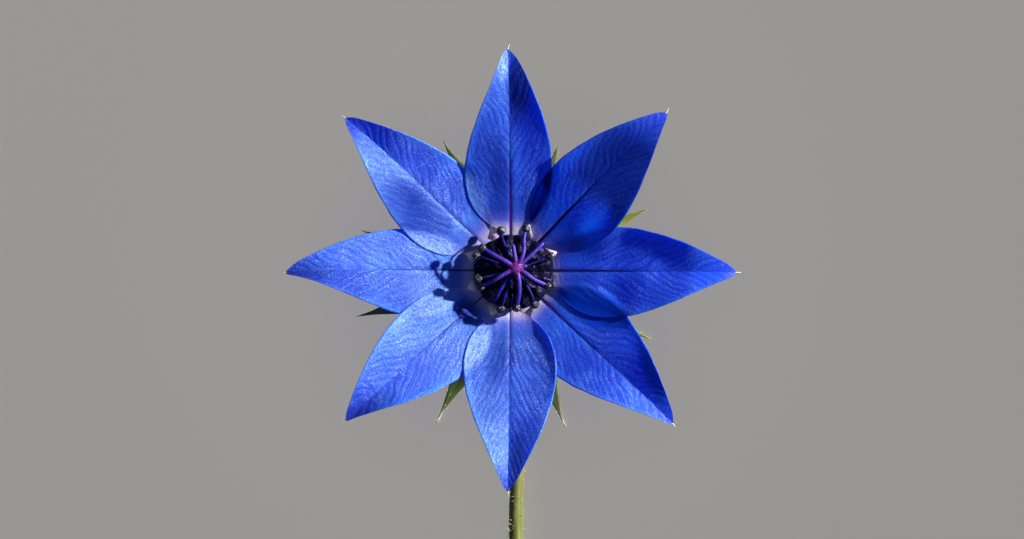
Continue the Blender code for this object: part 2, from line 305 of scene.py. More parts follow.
petalLook = {
    # turn: direction in degrees; plus and minus: half-width, taper and margin curl on either side;
    # end: where the outline's formula closes; lean: sideways bend of the tip; fold: along the
    # midrib; rise, bow: the arch upward; droop: of the tip; over: how far either margin lies above
    # the petal below it; then how much painted light (above 0) or painted shade (below 0) each side
    # gets where petals overlap, and how softly that ends; shine: from dull to glossy, higher on the
    # petals facing the light, which also sets how strong their painted highlights are; dents:
    # along, across, size, depth; then painted light and shade marks: along, across, half length,
    # half width, degrees, softness, painted light (above 0) or painted shade (below 0)
    "petals": (
        {"turn": 0, "reach": 15.1, "plus": (2.96, 1.25, -0.1), "minus": (3.21, 1.53, 0.1),
         "end": 16.2, "lean": -0.1, "fold": 0.3, "rise": 3.6, "bow": 1.6, "droop": 0.55,
         "over": (None, 0.06), "overlapLightShade": (0, -0.85, 0.6), "shine": 0.5,
         "dents": ((6, -1.6, 1.6, 0.1), (9.5, 1.2, 1.5, 0.08)),
         "spots": ((6.2, -2.5, 1, 0.8, -20, 0.4, -0.4), (10.5, 1.3, 3.2, 0.6, -12, 0.8, -0.12),
             (3.7, 0.9, 1.2, 0.8, 0, 0.8, 0.3), (5, 0, 2, 1.6, 0, 0.9, 0.15),
             (13.2, -0.3, 1.6, 0.8, 0, 0.8, -0.4))},
        {"turn": 46.2, "reach": 14.82, "plus": (2.82, 1.14, 0), "minus": (3.10, 1.34, 0.5),
         "end": 15.48, "lean": -0.19, "fold": 0.06, "rise": 4.6, "bow": 1.3, "droop": 0.75,
         "over": (0.06, 0.3), "overlapLightShade": (-0.95, 0, 0.12), "shine": 0.2,
         "dents": ((6.5, 1.2, 1.3, -0.08),),
         "spots": ((4.3, -2.1, 0.8, 0.55, 10, 0.4, -0.3), (5.8, -1.9, 1.4, 0.8, 10, 0.8, 0.9),
             (7.5, 2.4, 2.2, 0.6, -5, 0.8, 0.3), (9.8, -1.1, 4, 1.9, 6, 0.9, -0.4),
             (9.8, 1, 3.2, 1.3, -10, 0.9, -0.3), (5, 0.4, 2.2, 1.9, 0, 0.9, 0.45))},
        {"turn": 90.4, "reach": 14.84, "plus": (3.08, 1.53, -0.06), "minus": (2.81, 1.27, -0.1),
         "end": 16.11, "lean": 0.13, "fold": 0.36, "rise": 4.1, "bow": 1.45, "droop": 0.75,
         "over": (0.045, None), "overlapLightShade": (0.22, 0, 0.3), "shine": 0.5,
         "dents": ((6, 1.6, 1.4, 0.08),),
         "spots": ((14.2, 0.35, 1.2, 0.4, 0, 0.7, 0.8), (12.4, -0.6, 2, 0.7, 0, 0.5, -0.4),
             (5.4, 0.6, 2.8, 0.6, 0, 0.7, -0.4), (9.6, 1.3, 3.2, 1.4, 0, 0.9, -0.22))},
        {"turn": 136.3, "reach": 15.1, "plus": (3.10, 1.45, 0), "minus": (2.82, 1.31, -0.05),
         "end": 16.09, "lean": 0.23, "fold": 0.4, "rise": 3.3, "bow": 1.8, "droop": 0.5,
         "over": (0.045, None), "overlapLightShade": (0.75, 0, 0.35), "shine": 1,
         "dents": ((8.4, 1.4, 1.1, 0.16), (10.8, 1.6, 1.2, -0.08)),
         "spots": ((8, 1.8, 2.5, 1.3, 8, 0.95, -0.65), (10.8, 0.8, 1.4, 0.7, 0, 0.8, -0.15),
             (11.9, 0.8, 1.6, 0.5, -8, 0.8, 0.12), (3, 0.1, 1, 1, 0, 0.8, -0.6))},
        {"turn": 179.2, "reach": 15.1, "plus": (3.20, 1.84, -0.05), "minus": (2.71, 1.19, -0.05),
         "end": 16.2, "lean": 0.3, "fold": -0.2, "rise": 3.4, "bow": 1.7, "droop": 0.5,
         "over": (None, None), "overlapLightShade": (0, 0, 0.3), "shine": 1,
         "dents": ((9, -0.9, 1.4, -0.07),),
         "spots": ((13.6, 0, 1.8, 0.7, 0, 0.6, -0.2), (8.5, -1.4, 3.6, 0.9, 8, 0.8, 0.1),
             (7.5, 1.2, 3, 0.8, -8, 0.8, 0.05))},
        {"turn": 222, "reach": 14.93, "plus": (3.12, 1.41, -0.1), "minus": (2.86, 1.14, 0.06),
         "end": 15.42, "lean": 0.02, "fold": 0.3, "rise": 3.3, "bow": 1.7, "droop": 0.5,
         "over": (None, 0.045), "overlapLightShade": (0, 0.35, 0.3), "shine": 1,
         "dents": ((6.5, 1.4, 1.5, -0.06),),
         "spots": ((13.4, 0.5, 2.2, 0.6, -6, 0.8, -0.2), (8, 1.4, 2.2, 0.8, -8, 0.8, 0.06),
             (4, 0, 0.8, 0.8, 0, 0.9, -0.8))},
        {"turn": 269.3, "reach": 14.73, "plus": (3.14, 1.32, 0.42), "minus": (3.13, 1.44, 0.12),
         "end": 15.62, "lean": -0.06, "fold": 0.38, "rise": 3.3, "bow": 1.75, "droop": 0.45,
         "over": (0.3, 0.05), "overlapLightShade": (0, 0.75, 0.3), "shine": 1,
         "dents": ((5.5, -1.2, 1.2, 0.08), (5.5, 0.7, 1, -0.06)),
         "spots": ((5.6, -0.75, 2, 0.45, -10, 0.8, -0.3), (9, -1.4, 2.4, 1, 0, 0.9, -0.25),
             (12.6, -0.35, 2.2, 0.4, 6, 0.8, 0.12), (13, 0.5, 2, 0.4, -6, 0.6, -0.25))},
        {"turn": 317.1, "reach": 14.87, "plus": (3.11, 1.32, 0.1), "minus": (3.13, 1.57, -0.15),
         "end": 15.92, "lean": -0.1, "fold": 0.36, "rise": 3.6, "bow": 1.6, "droop": 0.5,
         "over": (None, None), "overlapLightShade": (0, 0, 0.3), "shine": 0.6,
         "dents": ((7, -1.5, 1.5, 0.07),),
         "spots": ((12.1, 1.25, 2.8, 0.5, -22, 0.4, -0.5), (8.9, 1.8, 1.4, 0.6, 0, 0.8, 0.25),
             (6.2, 2.1, 2.3, 1.1, 28, 0.14, -0.85), (4.9, 0.3, 1.3, 1, 0, 0.8, 0.6))},
    ),
    "nextAbove": (True, False, False, False, True, True, False, True),  # anticlockwise neighbour
    "rows": 210,
    "columns": 61,
    "start": 1.5,
    "bladeStart": 2.7,
    "innerFullness": 0.6,
    "clawHalfWidth": 0.5,
    "tipHalfWidth": 0.06,
    "thickness": 0.12,
    "layerStep": 0.09,
    "clearance": 0.16,  # at least this far above a petal below
    "curlSharpness": 4.5,
    "cupStart": 1.85,
    "cupEnd": 15.0,
    "droopStart": 11.8,
    "droopLength": 3.2,
    "veinSets": (  # slant, curve, spacing, half-width as a share of the spacing, share
        (1.6, 0.14, 0.88, 0.24, 1.0),
        (1.1, 0.24, 1.9, 0.09, 0.9),
    ),
    "veinDepth": 0.012,
    "grooveDepth": 0.05,  # along the midrib
    "grooveWidth": 0.15,
    "bendStart": 8,  # from here outward the tip bends sideways
    "bendLength": 7,
    "throughShare": 0.45,  # how much of the finish lets light through
    "sizes": {  # mm, of the noise behind each feature
        "patches": 2.2, "grain": 0.1, "veins": 0.9, "mottle": 0.16,
        "specks": 0.075, "gatherings": 1.3, "cells": 0.17, "polish": 0.3,
    },
    # on the shaded petals the midrib's dark blue is painted shade in its groove
    "shadedRib": {
        "startWidth": 0.11, "endWidth": 0.05, "end": 13.5, "share": 0.85,
        "colour": (0.002, 0.001, 0.09),
    },
    "litRib": {
        "startWidth": 0.07, "endWidth": 0.04, "end": 11.0, "share": 0.65,
        "colour": (0.025, 0.008, 0.2),
    },
    "shadedPetals": (0, 1, 2, 7),  # on the side of the light but facing away from it: painted in shaded blues, with broader midribs painted dark as shade
    "glowingPetals": (0, 1, 7),  # light reaches their backs; their painted light is a strong blue glow
    "clearPetals": (0, 7),  # their painted shade where petals overlap stays a clear blue
    "deepBlue": (0.003, 0.052, 0.45),
    # patches in a shaded blue on the shaded petals and in a lit blue on the others: painted shade
    # and light
    "shadedPetalBlue": (0.012, 0.12, 0.6),
    "lilac": (0.2, 0.21, 0.85),
    "cream": (0.78, 0.62, 0.68),
    "ribBase": (0.035, 0.002, 0.08),
    "tipViolet": (0.018, 0.014, 0.48),
    # painted shade on the shaded petals N and NE, where petals overlap or shadows fall
    "navyShade": (0.0, 0.008, 0.25),
    "veinBlue": (0.002, 0.015, 0.34),
    # painted shade on the lit petals, and below it on the clear petals E and SE
    "saturatedShade": (0.001, 0.016, 0.27),
    "clearShade": (0.002, 0.048, 0.62),
    "litBlue": (0.035, 0.165, 0.72),
    # painted highlights: along the margin, as a glow, as sparkle of single cells, and as light
    "rimHighlightBlue": (0.03, 0.27, 0.85),
    "paintedGlowBlue": (0.07, 0.32, 0.9),
    "paintedGlint": (0.55, 0.7, 1.0),
    "paintedLightBlue": (0.36, 0.52, 0.95),
    "glow": (0.003, 0.075, 0.85),
}


def petalHalfWidth(x, petal, side):
    look = petalLook
    width, taper, _ = petal[side]
    share = np.clip((x - look["bladeStart"]) / (petal["end"] - look["bladeStart"]), 1e-6, 1)
    widest = look["innerFullness"] / (look["innerFullness"] + taper)
    spread = (share / widest) ** look["innerFullness"]
    spread = spread * ((1 - share) / (1 - widest)) ** taper
    stalk = mix(look["clawHalfWidth"], look["tipHalfWidth"], smoothStep(3, 8, x))
    outline = np.hypot(width * spread, stalk)
    closing = np.maximum(petal["reach"] - x, 0) + 0.03
    return (outline**-5 + closing**-5) ** (-1 / 5)


def sideWidth(x, y, petal):  # the half-width on the side that y is on
    return np.where(y > 0, petalHalfWidth(x, petal, "plus"), petalHalfWidth(x, petal, "minus"))


def tipBend(x, petal):
    look = petalLook
    return petal["lean"] * (np.maximum(x - look["bendStart"], 0) / look["bendLength"]) ** 2


def neighbours(index):  # side, petal there, and the sign of y on that side
    return (0, (index + 1) % 8, 1), (1, (index - 1) % 8, -1)


def neighbourPlace(x, y, index, other):  # the same place as another petal measures it
    petal, neighbour = petalLook["petals"][index], petalLook["petals"][other]
    turn = math.radians(petal["turn"] - neighbour["turn"])
    bent = y + tipBend(x, petal)
    along = x * math.cos(turn) - bent * math.sin(turn)
    across = x * math.sin(turn) + bent * math.cos(turn) - tipBend(along, neighbour)
    halfWidth = sideWidth(along, across, neighbour)
    inside = np.where(along > petalLook["bladeStart"] - 0.3, halfWidth - np.abs(across), -1.0)
    return along, across, halfWidth, inside


def petalHeight(x, y, v, index):
    look = petalLook
    petal = look["petals"][index]
    reach = petal["reach"]
    clockwise = 1 if look["nextAbove"][index - 1] else -1
    anticlockwise = -1 if look["nextAbove"][index] else 1
    radius = np.hypot(x, y)
    out = np.clip((radius - look["cupStart"]) / (look["cupEnd"] - look["cupStart"]), 0, 1)
    cup = petal["rise"] * (1 - (1 - out) ** petal["bow"])
    droop = -petal["droop"] * (np.maximum(x - look["droopStart"], 0) / look["droopLength"]) ** 2
    side = smoothStep(-0.9, 0.9, y)
    level = mix(clockwise, anticlockwise, side)
    apart = smoothStep(1.5, 3.0, radius) * (1 - smoothStep(8.5, 12, radius))
    layer = level * look["layerStep"] * apart
    curlHeight = np.where(y > 0, petal["plus"][2], petal["minus"][2])
    curled = smoothStep(2.6, 4.2, x) * (1 - smoothStep(6.4, 9.6, x))
    curl = curlHeight * np.abs(v) ** look["curlSharpness"] * curled
    folded = smoothStep(6.0, 12.5, x) * (1 - 0.35 * smoothStep(reach - 2.0, reach, x))
    valley = petal["fold"] * np.abs(y) * folded
    midrib = np.exp(-((y / look["grooveWidth"]) ** 2))
    groove = -look["grooveDepth"] * midrib * (1 - smoothStep(5, 11, x))
    uneven = 0.05 * ripple(x, y, index + 40, 4.5) * smoothStep(3, 6, x)
    for dentX, dentY, size, depth in petal["dents"]:
        uneven = uneven - depth * np.exp(-(((x - dentX) / size) ** 2 + ((y - dentY) / size) ** 2))
    return cup + droop + layer + curl + valley + groove + uneven


def petalVeins(x, y, index):  # for each set, a number that is whole plus a half on every vein
    wander = 0.45 * ripple(x, y, index, 3.2) + 0.09 * ripple(x, y, index + 90, 1.1)
    return [
        (x - slant * np.abs(y) - curve * y * y) / spacing + wander + np.where(y > 0, 0.0, 0.37)
        for slant, curve, spacing, _, _ in petalLook["veinSets"]
    ]


def petalSurface(x, y, v, index):  # the petal's height with its margins laid over the petals below
    look = petalLook
    petal = look["petals"][index]
    z = petalHeight(x, y, v, index)
    for side, other, sign in neighbours(index):
        gap = petal["over"][side]
        if gap is None:
            continue
        along, across, halfWidth, inside = neighbourPlace(x, y, index, other)
        below = petalHeight(along, across, across / halfWidth, other)
        rim = smoothStep(0.55, 1.0, v * sign)
        near = smoothStep(-0.5, 0.6, inside) * smoothStep(0.05, 0.3, v * sign)
        least = below + mix(look["clearance"], gap, rim)
        if gap < 0.3:
            z = mix(z, least, near)
        lift = least - z
        raised = lift + np.sqrt(lift**2 + 0.0016)  # twice the lift, softly closing at nothing
        z = z + smoothStep(-0.4, 0.1, inside) * 0.5 * raised * (v * sign > 0)
    return z


def petalPaintedLightShade(x, y, index):  # painted light above 0 and painted shade below it, where petals overlap and in the listed marks
    petal = petalLook["petals"][index]
    paintedLightShade = hidden = 0.0 * x + 0.0 * y
    for side, other, sign in neighbours(index):
        if petal["overlapLightShade"][side]:
            inside = neighbourPlace(x, y, index, other)[3]
            soft = petal["overlapLightShade"][2]
            zone = smoothStep(-soft, soft, inside) * (y * sign > 0)
            paintedLightShade = paintedLightShade + petal["overlapLightShade"][side] * zone
            hidden = np.maximum(hidden, zone if petal["overlapLightShade"][side] < 0 else 0.0)
    for spotX, spotY, halfLength, halfWidth, degrees, soft, amount in petal["spots"]:
        turn = math.radians(degrees)
        along = (x - spotX) * math.cos(turn) + (y - spotY) * math.sin(turn)
        across = (y - spotY) * math.cos(turn) - (x - spotX) * math.sin(turn)
        away = np.hypot(along / halfLength, across / halfWidth)
        paintedLightShade = paintedLightShade + amount * (1 - smoothStep(1 - soft, 1 + soft, away)) * (1 - hidden)
    return paintedLightShade


def petalShape(index):
    look = petalLook
    petal = look["petals"][index]
    reach = petal["reach"]
    x = np.linspace(look["start"], reach, look["rows"])[:, None]
    spread = np.linspace(-1, 1, look["columns"])[None, :]
    v = np.sign(spread) * np.abs(spread) ** 1.15  # columns a little closer at the midrib
    halfWidth = sideWidth(x, v, petal)
    edge = 1 + 0.008 * ripple(x + 0 * v, np.sign(v) * 3, index + 60, 1.6) * (np.abs(v) > 0.97)
    y = v * halfWidth * edge
    x = x + 0 * y
    veins = petalVeins(x, y, index)
    furrow = 0.5 - 0.5 * np.cos(2 * math.pi * veins[0])
    furrowed = smoothStep(3.2, 5.5, x) * (1 - smoothStep(0.8, 1.0, np.abs(v)))
    z = petalSurface(x, y, v, index) - look["veinDepth"] * furrow * furrowed
    top = np.stack([x, y + tipBend(x, petal), z], axis=2) * mm
    slim = 1 - 0.4 * smoothStep(reach - 2, reach, x)
    thin = look["thickness"] * (1 - 0.75 * np.abs(v) ** 5) * slim
    bottom = top - upwardNormals(top) * (thin * mm)[..., None]
    marks = {"paintedLightShade": petalPaintedLightShade(x, y, index), "margin": np.abs(v) + 0 * x}
    marks.update({f"vein_{count}": vein for count, vein in enumerate(veins)})
    return top, bottom, {name: np.tile(mark.ravel(), 2) for name, mark in marks.items()}


def veinLines(finish, along, margin):  # how far each point belongs to a vein
    strength = finish.product(
        finish.blotches(petalLook["sizes"]["veins"] * mm, 0.32, 0.58, 0.3, 1.0),
        finish.between(along, 3.4, 5.5),
        finish.between(margin, 0.75, 1.0, 1.0, 0.0),
    )
    lines = 0.0
    for count, (_, _, _, width, share) in enumerate(petalLook["veinSets"]):
        phase = finish.math("FRACT", finish.mark(f"vein_{count}"))
        fromVein = finish.math("ABSOLUTE", finish.math("SUBTRACT", phase, 0.5))
        line = finish.product(finish.between(fromVein, 0.02, width, share, 0.0), strength)
        lines = finish.math("MAXIMUM", line, lines)
    return lines


def ribLine(finish, rib, along, fromRib):  # share and colour of the midrib
    width = finish.between(along, 3.0, 10.0, rib["startWidth"], rib["endWidth"])
    share = finish.product(
        finish.between(finish.math("DIVIDE", fromRib, width), 0.5, 1.3, 1.0, 0.0),
        finish.between(along, 6.0, rib["end"], 1.0, 0.0),
        rib["share"],
    )
    return share, finish.blend(finish.between(along, 3.2, 6.5), petalLook["ribBase"], rib["colour"])


def makePetalFinish(index):
    look = petalLook
    petal = look["petals"][index]
    shine = petal["shine"]
    shaded = index in look["shadedPetals"]
    glowing = index in look["glowingPetals"]
    sizes = {name: size * mm for name, size in look["sizes"].items()}
    finish = Finish(f"petal_blue_{index + 1}", look["deepBlue"])
    x, y, _ = finish.spot()
    shift = (index * 0.031, index * 0.017, index * 0.023)  # no two petals have the same grain
    inputs = {0: finish.vector, 1: shift}
    finish.vector = finish.node("VectorMath", inputs, operation="ADD").outputs[0]
    along = finish.math("MULTIPLY", x, 1 / mm)
    beyond = finish.math("MAXIMUM", finish.math("SUBTRACT", along, look["bendStart"]), 0.0)
    bend = finish.math("POWER", finish.math("MULTIPLY", beyond, 1 / look["bendLength"]), 2.0)
    across = finish.math("MULTIPLY_ADD", bend, -petal["lean"], finish.math("MULTIPLY", y, 1 / mm))
    paintedLightShade, margin = finish.mark("paintedLightShade"), finish.mark("margin")
    paintedShade = finish.math("MULTIPLY", paintedLightShade, -1.0, clamp=True)
    paintedLight = finish.math("MULTIPLY", paintedLightShade, 1.0, clamp=True)

    # Soft patches in a painted lit or shaded blue, a painted highlight along the margin, and a fine
    # grain with painted sheen on its raised points
    patches = finish.blotches(sizes["patches"], 0.35, 0.68, detail=4.0)
    finish.tint(patches, look["shadedPetalBlue"] if shaded else look["litBlue"])
    finish.tint(finish.between(margin, 0.7, 1.0, 0.0, 0.1 + 0.5 * shine), look["rimHighlightBlue"])
    grain = finish.noise(sizes["grain"], 3.0, 0.6)
    finish.tint(finish.between(grain, 0.35, 0.6, 0.5 if shaded else 0.7, 0.0), look["deepBlue"])
    finish.tint(finish.between(grain, 0.52, 0.72, 0.0, 0.3 * shine), look["paintedLightBlue"])
    lines = veinLines(finish, along, margin)
    finish.tint(lines, look["veinBlue"])

    # Painted shade where petals overlap or shadows fall, painted light where the sun comes through
    # or falls full on
    paintedShadeColour = look["saturatedShade"]
    if shaded:
        paintedShadeColour = look["clearShade"] if index in look["clearPetals"] else look["navyShade"]
    finish.tint(paintedShade, paintedShadeColour)
    light = look["paintedGlowBlue"] if glowing else look["paintedLightBlue"]
    mottle = finish.blotches(sizes["mottle"], 0.36, 0.64, 0.15, 1.65, roughness=0.6)
    finish.tint(finish.math("MULTIPLY", paintedLight, mottle, clamp=True), light)

    # Violet tip, lilac and cream base, dark midrib, its dark blue on the shaded petals painted
    # shade in the groove
    tip = finish.product(finish.between(along, 12.6, 15.0, 0.0, 0.6), finish.rest(paintedLight))
    finish.tint(tip, look["tipViolet"])
    finish.tint(finish.between(along, 2.9, 4.4, 0.75, 0.0), look["lilac"])
    finish.tint(finish.between(along, 2.7, 3.6, 1.0, 0.0), look["cream"])
    rib = look["shadedRib"] if shaded else look["litRib"]
    ribShare, ribColour = ribLine(finish, rib, along, finish.math("ABSOLUTE", across))
    finish.tint(ribShare, ribColour)

    # Painted sparkle of single cells, gathered in places and where light is painted, and missing in
    # the veins
    specks = finish.blotches(sizes["specks"], 0.52, 0.72, detail=1.0)
    free = finish.math("MULTIPLY_ADD", lines, -0.7, 0.85 * shine, clamp=True)
    gathered = finish.blotches(sizes["gatherings"], 0.4, 0.65, 0.25, 1.0, detail=2.0)
    gathered = finish.math("ADD", gathered, paintedLight)
    paintedGlint = finish.math("MULTIPLY", finish.product(specks, free), gathered, clamp=True)
    paintedGlint = finish.product(paintedGlint, finish.between(along, 4.0, 5.0), finish.rest(paintedShade))
    finish.tint(paintedGlint, look["paintedGlint"])

    normal = finish.bump(
        (finish.cells(sizes["cells"]), 0.022 * mm, 0.6),
        (grain, 0.022 * mm, 0.7),
    )
    finish.paint(
        finish.blotches(sizes["polish"], 0.3, 0.7, 0.5, 0.66, detail=2.0), normal,
        IOR=1.7, Specular_IOR_Level=0.4 + 0.6 * shine, Specular_Tint=(0.5, 0.85, 1.0),
        Sheen_Weight=0.3 * shine, Sheen_Roughness=0.45, Sheen_Tint=(0.5, 0.78, 1.0),
    )
    # the light let through and a dull share without shine carry the painted shade and light too
    through = finish.blend(paintedShade, look["glow"], paintedShadeColour)
    through = finish.blend(ribShare, through, ribColour)
    through = finish.blend(paintedLight, through, light)
    share = look["throughShare"]
    glowShare = finish.math("MULTIPLY_ADD", paintedLight, share if glowing else 0.0, share)
    finish.letThrough(glowShare, through, normal)
    finish.dull(finish.math("MAXIMUM", paintedShade, ribShare), finish.blend(ribShare, paintedShadeColour, ribColour))
    return finish.material


def makePetals():
    for index, petalSettings in enumerate(petalLook["petals"]):
        top, bottom, marks = petalShape(index)
        points, faces = shell(top, bottom)
        petal = meshPiece(f"petal_{index + 1}", points, faces, makePetalFinish(index))
        for name, mark in marks.items():
            petal.data.attributes.new(name, "FLOAT", "POINT").data.foreach_set("value", mark)
        petal.location = (flowerX, flowerY, throatHeight)
        petal.rotation_euler = (0, 0, math.radians(petalSettings["turn"]))
        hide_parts("corolla")
        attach(petal, "root")
    print("petals made:", len(petalLook["petals"]))


# Pale bristle at each petal tip

bristleTipLook = {
    "length": 0.52,
    "radius": 0.036,
    "endRadius": 0.008,
    "sides": 8,
    "colour": (0.6, 0.55, 0.48),
    "paleColour": (0.75, 0.66, 0.58),
}


def makePetalTips():
    look = bristleTipLook
    finish = Finish("tip_bristle_cream", look["colour"])
    finish.tint(finish.noise(0.2 * mm, 2.0), look["paleColour"])
    finish.paint(0.5, finish.bump((finish.noise(0.08 * mm, 2.0), 0.01 * mm, 0.4)))
    pile = Pile()
    base = np.array((flowerX, flowerY, throatHeight))
    steps = np.linspace(0, 1, 6)
    radii = [(look["radius"] * (1 - t) ** 0.7 + look["endRadius"]) * mm for t in steps]
    for index, petal in enumerate(petalLook["petals"]):
        turn, reach = math.radians(petal["turn"]), petal["reach"]
        outward = np.array((math.cos(turn), math.sin(turn), 0.0))
        sideways = np.array((-math.sin(turn), math.cos(turn), 0.0))
        tipHeight = float(petalSurface(np.array(reach - 0.12), np.array(0.0), np.array(0.0), index))
        rooted = outward * (reach - 0.2) + sideways * petal["lean"] + (0, 0, tipHeight - 0.04)
        lean = math.sin(index * 2.3) * 0.3
        route = [outward * t + sideways * lean * t * t - (0, 0, 0.12 * t) for t in steps]
        route = base + (rooted + np.array(route) * look["length"]) * mm
        pile.add(*tube(route, radii, look["sides"]))
    piece = meshPiece("petal_tips", pile.points, pile.faces, finish.material)
    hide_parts("corolla")
    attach(piece, "root")
    print("petal tips made")


# Throat ring, seen in the gaps between the petal claws

throatLook = {
    "inner": 0.95,
    "outer": 3.35,
    "steps": 192,
    "profile": (  # share of the way out, height, how much the knobs lift it
        (0, -0.35, 0), (0, 0.1, 0), (0.3, 0.16, 0), (0.55, 0.12, 0.1), (0.7, 0.02, 0.22),
        (0.82, -0.06, 0.26), (0.92, -0.16, 0.2), (0.98, -0.3, 0.08), (1, -0.42, 0),
        (0.9, -0.52, 0), (0.5, -0.56, 0), (0.32, -0.62, 0), (0.24, -0.8, 0), (0.1, -0.8, 0),
    ),
    "knobWidth": 0.16,  # radians; a knob stands in each gap
    "cream": (0.9, 0.8, 0.68),
    "mauve": (0.36, 0.2, 0.36),
    "stain": (0.5, 0.36, 0.46),
    # painted shade on the side of the sun, which keeps the knobs that stand in the sun from shining
    # white
    "sunSideShade": (0.22, 0.16, 0.24),
    "under": (0.2, 0.22, 0.6),
}


def throatKnobs(angles):  # lower on the side of the light
    directions = [petal["turn"] for petal in petalLook["petals"]]
    knobs = 0.0
    for first, second in zip(directions, directions[1:] + [360.0]):
        gap = math.radians((first + second) / 2)
        away = np.angle(np.exp(1j * (angles - gap))) / throatLook["knobWidth"]
        knobs = knobs + (1 - 0.75 * max(0, math.cos(gap - 0.2))) * np.exp(-(away**2))
    return knobs


def makeThroat():
    look = throatLook
    steps = look["steps"]
    angles = np.linspace(0, fullTurn, steps, endpoint=False)
    knobs = throatKnobs(angles)
    grid = []
    for share, height, lift in look["profile"]:
        radius = mix(look["inner"], look["outer"], share) + 0.06 * np.sin(angles * 23) * share
        x, y = radius * np.cos(angles), radius * np.sin(angles)
        rise = height + lift * knobs + 0.02 * ripple(x, y, 5, 0.7)
        grid.append(np.stack([x, y, rise], axis=1) * mm)
    count = len(grid) * steps
    faces = gridFaces(len(grid) + 1, steps, wrap=True)  # the last ring is joined to the first
    faces = [tuple(corner % count for corner in face) for face in flipped(faces)]
    finish = Finish("throat_cream", look["mauve"])
    x, y, z = finish.spot()
    finish.tint(finish.between(finish.distance(x, y), 2.55 * mm, 3.0 * mm), look["cream"])
    finish.tint(finish.blotches(0.5 * mm, 0.4, 0.7, 0.0, 0.5), look["stain"])
    # painted shade towards +X, the side of the sun
    finish.tint(finish.between(x, 0.3 * mm, 1.8 * mm, 0.0, 0.8), look["sunSideShade"])
    finish.tint(finish.between(z, -0.5 * mm, -0.25 * mm, 1.0, 0.0), look["under"])
    finish.paint(0.5, finish.bump((finish.noise(0.15 * mm), 0.03 * mm, 0.6)))
    piece = meshPiece("throat_ring", np.concatenate(grid), faces, finish.material)
    piece.location = (flowerX, flowerY, throatHeight)
    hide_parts("corolla")
    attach(piece, "root")
    print("throat ring made")


# Disc

discLook = {
    "radiusX": 2.68,
    "radiusY": 2.52,
    "lobes": 12,
    "rings": 46,
    "steps": 240,
    "rim": -0.9,  # height of the rim below the top, and how far the dome rises from it
    "rise": 0.8,
    "skirt": (  # below the rim: share of the radius, drop; the last is the peg
        (0.985, 0.12), (0.93, 0.22), (0.8, 0.28), (0.4, 0.3), (0.24, 0.5), (0.22, 1.6),
    ),
    "black": (0.0035, 0.0025, 0.009),
    # painted blue reflections
    "paintedGlintBlue": (0.008, 0.006, 0.07),
}


def makeDisc():
    look = discLook
    steps = look["steps"]
    angles = np.linspace(0, fullTurn, steps, endpoint=False)[None, :]
    shares = np.linspace(0.02, 1, look["rings"])[:, None]
    bulge = np.abs(np.sin(angles * look["lobes"] / 2)) ** 0.7
    edge = 1 + 0.05 * (bulge - 0.6) + 0.012 * ripple(np.cos(angles), np.sin(angles), 3, 0.8)
    dome = np.sqrt(np.clip(1 - shares**2 * 0.995, 0, 1))
    radius = shares * edge
    x = look["radiusX"] * radius * np.cos(angles)
    y = look["radiusY"] * radius * np.sin(angles)
    groove = (bulge - 1) * 0.22 * smoothStep(0.12, 0.55, shares)
    folds = 0.05 * np.sin(angles * look["lobes"] * 2 + 1) * smoothStep(0.5, 0.9, shares)
    lumps = 0.05 * ripple(x, y, 11, 0.9) + 0.02 * ripple(x, y, 12, 0.35)
    z = look["rim"] + look["rise"] * dome**0.7 + groove + folds * dome
    z = z + lumps * smoothStep(0.0, 0.3, shares)
    rings = list(np.stack([x, y, z], axis=2))
    for inward, drop in look["skirt"]:
        ringX = look["radiusX"] * inward * np.cos(angles[0])
        ringY = look["radiusY"] * inward * np.sin(angles[0])
        rings.append(np.stack([ringX, ringY, np.full(steps, look["rim"] - drop)], axis=1))
    ends = np.array(((0, 0, -0.1), (0, 0, look["rim"] - look["skirt"][-1][1])))
    points, faces = closedRings(rings, ends)
    finish = Finish("disc_black_gloss", look["black"])
    # painted blue reflections in patches over the black
    finish.tint(finish.product(finish.blotches(0.28 * mm, 0.52, 0.72), 0.8), look["paintedGlintBlue"])
    normal = finish.bump(
        (finish.noise(0.35 * mm, 2.0), 0.03 * mm, 0.5),
        (finish.cells(0.11 * mm), 0.02 * mm, 0.5),
    )
    polish = finish.blotches(0.2 * mm, 0.3, 0.7, 0.28, 0.5, detail=2.0)
    finish.paint(polish, normal, Specular_IOR_Level=0.14, Specular_Tint=(0.45, 0.4, 1.0))
    piece = meshPiece("disc_lobes", points * mm, flipped(faces), finish.material)
    piece.location = (stamenX, stamenY, discTop)
    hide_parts("disc")
    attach(piece, "root")
    print("disc made")


# Stamens: arms of the violet whorl, and the anthers at their ends

stamenLook = {
    "hub": (0.17, 0.27, 0.66),  # sideways and up from the middle of the disc's top
    "hubRadius": 0.52,
    "antherRadius": 0.29,
    "magenta": (0.1, 0.006, 0.14),
    "violet": (0.045, 0.018, 0.24),
    "blueViolet": (0.02, 0.012, 0.30),
    "lilacGrain": (0.28, 0.2, 0.62),
    # painted shade: the lower arms, lying in shade, in darker blues instead of violet
    "shadedArmBlue": (0.006, 0.005, 0.08),
    "deepBlue": (0.014, 0.012, 0.24),
    "antherBlack": (0.006, 0.005, 0.008),
    "antherPollenAndHighlight": (0.26, 0.25, 0.23),
}
